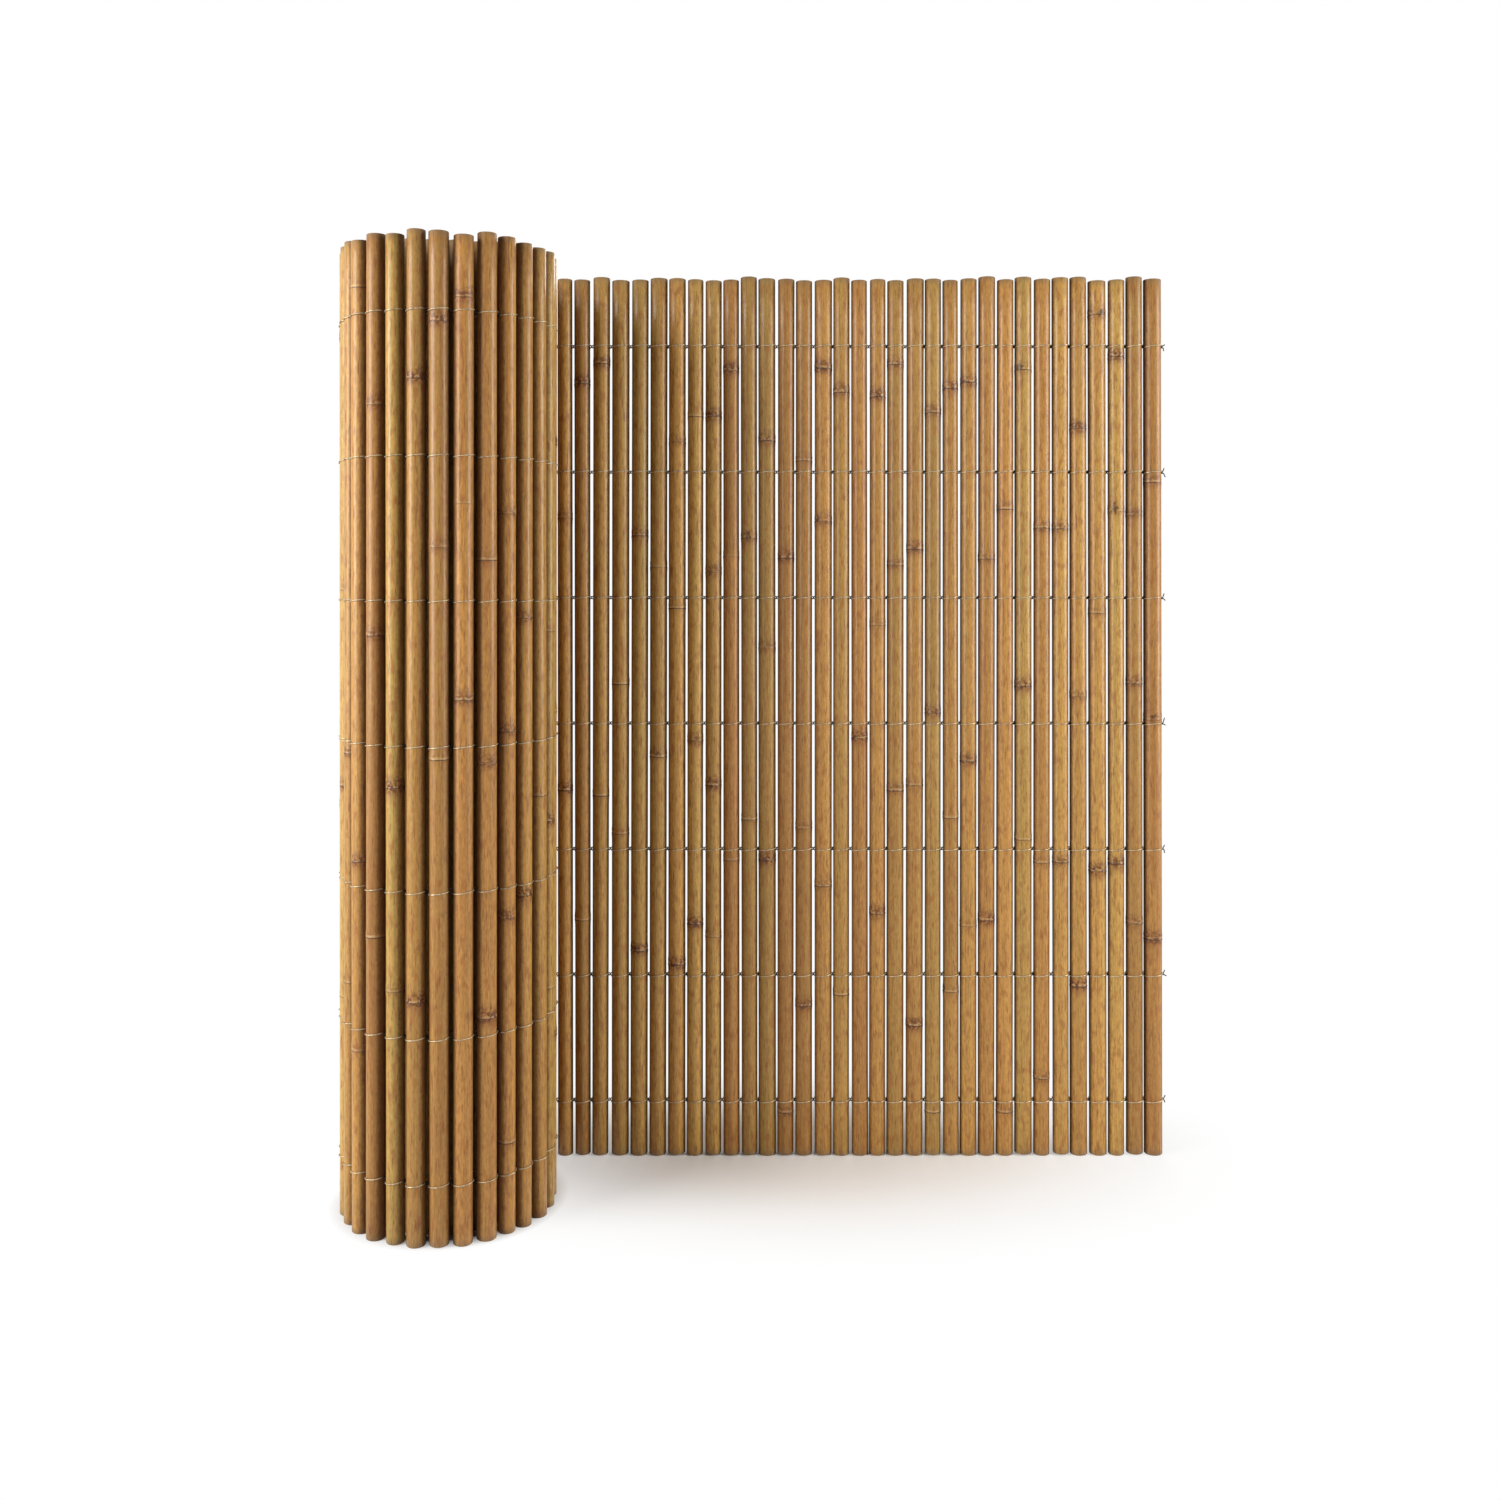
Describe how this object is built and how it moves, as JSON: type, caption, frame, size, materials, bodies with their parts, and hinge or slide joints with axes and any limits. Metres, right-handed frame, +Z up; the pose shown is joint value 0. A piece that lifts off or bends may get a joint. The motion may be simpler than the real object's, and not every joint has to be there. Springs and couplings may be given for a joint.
{
  "type": "bamboo cane screening",
  "caption": "Mat of whole bamboo canes bound side by side with rows of twisted wire, standing on end, partly rolled up and partly opened out as a flat screen.",
  "frame": {"origin": "middle of the bounding box, on the floor that the canes stand on", "axes": "+Z up along the canes, +X along the flat stretch from the roll to the free edge, +Y from the roll's front to the back of the flat stretch"},
  "size_m": [0.9094, 0.2454, 0.9998],
  "materials": {
    "bamboo": "semi-gloss cane skin",
    "binding_wire": "galvanised"
  },
  "bodies": {
    "root": {"back_strand_row_1": "binding_wire", "back_strand_row_2": "binding_wire", "back_strand_row_3": "binding_wire", "back_strand_row_4": "binding_wire", "back_strand_row_5": "binding_wire", "back_strand_row_6": "binding_wire", "back_strand_row_7": "binding_wire", "front_strand_row_1": "binding_wire", "front_strand_row_2": "binding_wire", "front_strand_row_3": "binding_wire", "front_strand_row_4": "binding_wire", "front_strand_row_5": "binding_wire", "front_strand_row_6": "binding_wire", "front_strand_row_7": "binding_wire", "inner_turn_canes": "bamboo", "outer_turn_canes": "bamboo", "panel_cane_01": "bamboo", "panel_cane_02": "bamboo", "panel_cane_03": "bamboo", "panel_cane_04": "bamboo", "panel_cane_05": "bamboo", "panel_cane_06": "bamboo", "panel_cane_07": "bamboo", "panel_cane_08": "bamboo", "panel_cane_09": "bamboo", "panel_cane_10": "bamboo", "panel_cane_11": "bamboo", "panel_cane_12": "bamboo", "panel_cane_13": "bamboo", "panel_cane_14": "bamboo", "panel_cane_15": "bamboo", "panel_cane_16": "bamboo", "panel_cane_17": "bamboo", "panel_cane_18": "bamboo", "panel_cane_19": "bamboo", "panel_cane_20": "bamboo", "panel_cane_21": "bamboo", "panel_cane_22": "bamboo", "panel_cane_23": "bamboo", "panel_cane_24": "bamboo", "panel_cane_25": "bamboo", "panel_cane_26": "bamboo", "panel_cane_27": "bamboo", "panel_cane_28": "bamboo", "panel_cane_29": "bamboo", "panel_cane_30": "bamboo", "panel_cane_31": "bamboo", "panel_cane_32": "bamboo", "panel_cane_33": "bamboo", "panel_cane_34": "bamboo", "panel_cane_35": "bamboo", "panel_cane_36": "bamboo", "panel_cane_37": "bamboo"}
  },
  "joints": []
}
